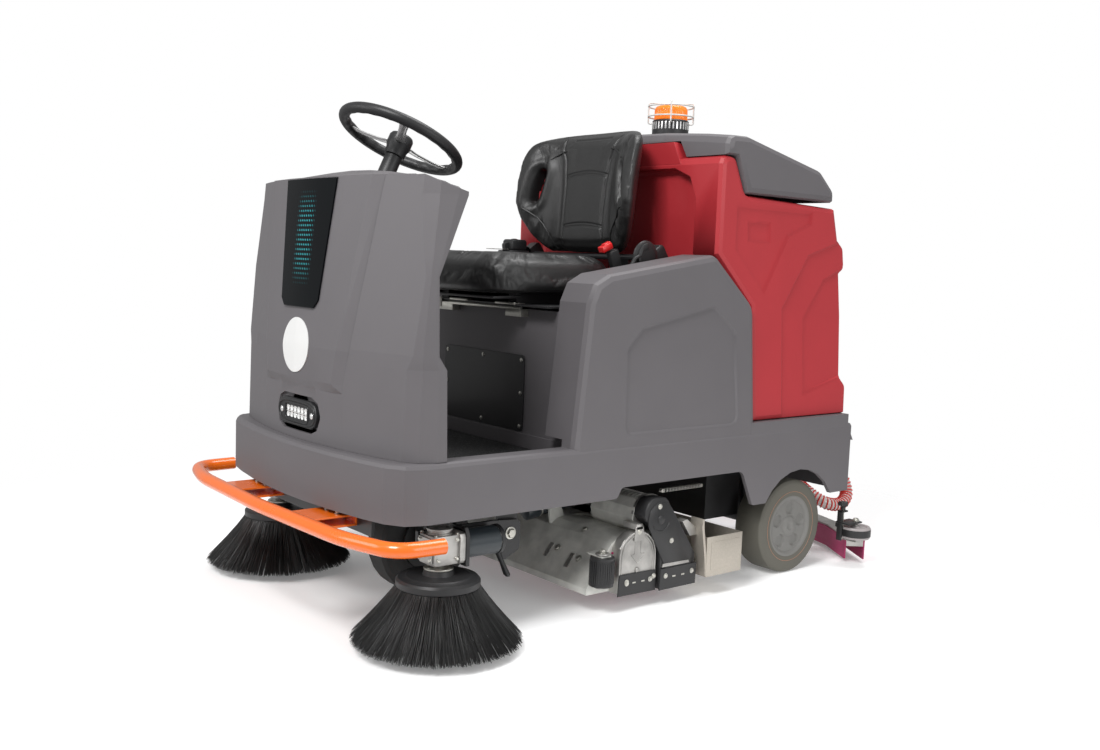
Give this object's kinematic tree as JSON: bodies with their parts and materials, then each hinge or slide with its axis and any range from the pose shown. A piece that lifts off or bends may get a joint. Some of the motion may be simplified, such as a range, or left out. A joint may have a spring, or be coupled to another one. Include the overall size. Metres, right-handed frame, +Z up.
{
  "type": "ride-on floor scrubber",
  "caption": "Ride-on floor scrubber with two side brooms, a cylindrical brush deck, a red recovery tank and a curved rear squeegee.",
  "frame": {"origin": "on the floor under the middle of the bounding box", "axes": "+Z up, the machine drives toward -Y, and +X is its left side"},
  "size_m": [1.312, 2.1172, 1.4994],
  "materials": {
    "grey_plastic": "satin moulded polyethylene",
    "red_plastic": "satin moulded polyethylene",
    "black_steel": "satin powder coat",
    "black_plastic": "satin",
    "black_gloss": "gloss",
    "black_vinyl": "vinyl with a soft sheen",
    "orange_paint": "gloss powder coat",
    "zinc": "zinc plated",
    "cast_aluminium": "as cast",
    "tray_steel": "matt stainless sheet",
    "tyre_rubber": "solid non-marking rubber",
    "hub_grey": "satin",
    "bristle": "bristles",
    "amber": "translucent amber",
    "guard_wire": "white coated wire",
    "magenta_rubber": "matt",
    "red_hose": "clear hose with a red spiral",
    "mat_rubber": "gritty"
  },
  "bodies": {
    "base": {"chassis_frame": "black_steel", "rear_axle": "black_steel", "body_shell": "grey_plastic", "battery_pack": "black_plastic", "access_panel": "black_steel", "floor_mat": "mat_rubber", "front_cowl": "grey_plastic", "cowl_screen": "black_gloss", "headlamp": "black_plastic", "steering_column": "black_plastic", "dashboard": "black_plastic", "accelerator_pedal": "black_plastic", "brake_pedal": "black_plastic", "bumper_bar": "orange_paint", "recovery_tank": "red_plastic", "seat_hinge": "zinc", "vacuum_hose": "red_hose"},
    "steering": {"steering_wheel": "black_plastic"},
    "drive_fork": {"drive_unit": "black_steel"},
    "front_wheel": {"drive_wheel": "tyre_rubber"},
    "rear_wheel_left": {"rear_tyre_left": "tyre_rubber", "rear_hub_left": "hub_grey"},
    "rear_wheel_right": {"rear_tyre_right": "tyre_rubber", "rear_hub_right": "hub_grey"},
    "seat": {"seat_plate": "black_steel", "seat_cushion": "black_vinyl", "seat_back": "black_vinyl", "seat_recliner": "black_plastic", "belt_buckle": "black_plastic", "belt_tongue": "black_plastic"},
    "lid": {"tank_lid": "grey_plastic", "beacon_base": "black_plastic", "beacon_lens": "amber", "beacon_guard": "guard_wire"},
    "broom_carrier_left": {"broom_arm_left": "black_steel", "broom_motor_left": "cast_aluminium"},
    "broom_carrier_right": {"broom_arm_right": "black_steel", "broom_motor_right": "cast_aluminium"},
    "broom_left": {"side_broom_left": "bristle"},
    "broom_right": {"side_broom_right": "bristle"},
    "deck_links": {"lift_links": "zinc"},
    "deck": {"deck_housing": "cast_aluminium", "belt_cover_left": "black_plastic", "belt_cover_right": "black_plastic", "end_door_left": "cast_aluminium", "end_door_right": "cast_aluminium"},
    "front_brush": {"brush_front": "magenta_rubber"},
    "rear_brush": {"brush_rear": "magenta_rubber"},
    "tray": {"debris_tray": "tray_steel"},
    "corner_roller_left": {"deck_roller_left": "black_plastic"},
    "corner_roller_right": {"deck_roller_right": "black_plastic"},
    "squeegee_hitch": {"squeegee_arm": "zinc"},
    "squeegee": {"squeegee_bar": "cast_aluminium", "squeegee_blade_front": "magenta_rubber", "squeegee_blade_rear": "magenta_rubber"},
    "squeegee_roller_left": {"end_roller_left": "hub_grey"},
    "squeegee_roller_right": {"end_roller_right": "hub_grey"}
  },
  "joints": [
    {"name": "front_steer", "type": "hinge", "parent": "base", "child": "drive_fork", "pos_m": [0, -0.555, 0.35], "axis": [0, 0, 1], "range_deg": [-60, 60]},
    {"name": "front_wheel_spin", "type": "hinge", "parent": "drive_fork", "child": "front_wheel", "pos_m": [0, -0.555, 0.15], "axis": [1, 0, 0], "continuous": true},
    {"name": "steering_wheel_turn", "type": "hinge", "parent": "base", "child": "steering", "pos_m": [0, -0.649, 1.277], "axis": [0, 0.4226, 0.9063], "range_deg": [-180, 180]},
    {"name": "rear_left_spin", "type": "hinge", "parent": "base", "child": "rear_wheel_left", "pos_m": [0.4175, 0.54, 0.15], "axis": [1, 0, 0], "continuous": true},
    {"name": "rear_right_spin", "type": "hinge", "parent": "base", "child": "rear_wheel_right", "pos_m": [-0.4175, 0.54, 0.15], "axis": [1, 0, 0], "continuous": true},
    {"name": "seat_tilt", "type": "hinge", "parent": "base", "child": "seat", "pos_m": [0, -0.372, 0.8277], "axis": [1, 0, 0], "range_deg": [0, 40]},
    {"name": "lid_open", "type": "hinge", "parent": "base", "child": "lid", "pos_m": [0, 0.664, 1.174], "axis": [-1, 0, 0], "range_deg": [0, 70]},
    {"name": "broom_lower_left", "type": "hinge", "parent": "base", "child": "broom_carrier_left", "pos_m": [0.395, -0.532, 0.249], "axis": [1, 0, 0], "range_deg": [0, 3]},
    {"name": "broom_lower_right", "type": "hinge", "parent": "base", "child": "broom_carrier_right", "pos_m": [-0.395, -0.532, 0.249], "axis": [1, 0, 0], "range_deg": [0, 3]},
    {"name": "broom_spin_left", "type": "hinge", "parent": "broom_carrier_left", "child": "broom_left", "pos_m": [0.439, -0.78, 0.18], "axis": [0, 0, 1], "continuous": true},
    {"name": "broom_spin_right", "type": "hinge", "parent": "broom_carrier_right", "child": "broom_right", "pos_m": [-0.439, -0.78, 0.18], "axis": [0, 0, 1], "continuous": true},
    {"name": "deck_lift", "type": "hinge", "parent": "base", "child": "deck_links", "pos_m": [0, -0.35, 0.3], "axis": [-1, 0, 0], "range_deg": [0, 14]},
    {"name": "deck_level", "type": "hinge", "parent": "deck_links", "child": "deck", "pos_m": [0, -0.2, 0.24], "axis": [-1, 0, 0], "range_deg": [-14, 0]},
    {"name": "front_brush_spin", "type": "hinge", "parent": "deck", "child": "front_brush", "pos_m": [0, -0.156, 0.122], "axis": [1, 0, 0], "continuous": true},
    {"name": "rear_brush_spin", "type": "hinge", "parent": "deck", "child": "rear_brush", "pos_m": [0, 0.006, 0.122], "axis": [1, 0, 0], "continuous": true},
    {"name": "tray_slide", "type": "slide", "parent": "deck", "child": "tray", "axis": [1, 0, 0], "range_m": [0, 0.45]},
    {"name": "corner_roller_spin_left", "type": "hinge", "parent": "deck", "child": "corner_roller_left", "pos_m": [0.472, -0.266, 0.124], "axis": [0, 0, 1], "continuous": true},
    {"name": "corner_roller_spin_right", "type": "hinge", "parent": "deck", "child": "corner_roller_right", "pos_m": [-0.472, -0.266, 0.124], "axis": [0, 0, 1], "continuous": true},
    {"name": "squeegee_lift", "type": "hinge", "parent": "base", "child": "squeegee_hitch", "pos_m": [0, 0.64, 0.27], "axis": [1, 0, 0], "range_deg": [0, 12], "deforming": ["vacuum_hose"]},
    {"name": "squeegee_swing", "type": "hinge", "parent": "squeegee_hitch", "child": "squeegee", "pos_m": [0, 1.016, 0.11], "axis": [0, 0, 1], "range_deg": [-5, 5], "deforming": ["vacuum_hose"]},
    {"name": "end_roller_spin_left", "type": "hinge", "parent": "squeegee", "child": "squeegee_roller_left", "pos_m": [0.532, 0.8, 0.113], "axis": [0, 0, 1], "continuous": true},
    {"name": "end_roller_spin_right", "type": "hinge", "parent": "squeegee", "child": "squeegee_roller_right", "pos_m": [-0.532, 0.8, 0.113], "axis": [0, 0, 1], "continuous": true}
  ],
  "couplings": [
    {"joint": "steering_wheel_turn", "follows": "front_steer", "ratio": 3},
    {"joint": "deck_level", "follows": "deck_lift", "ratio": -1}
  ]
}
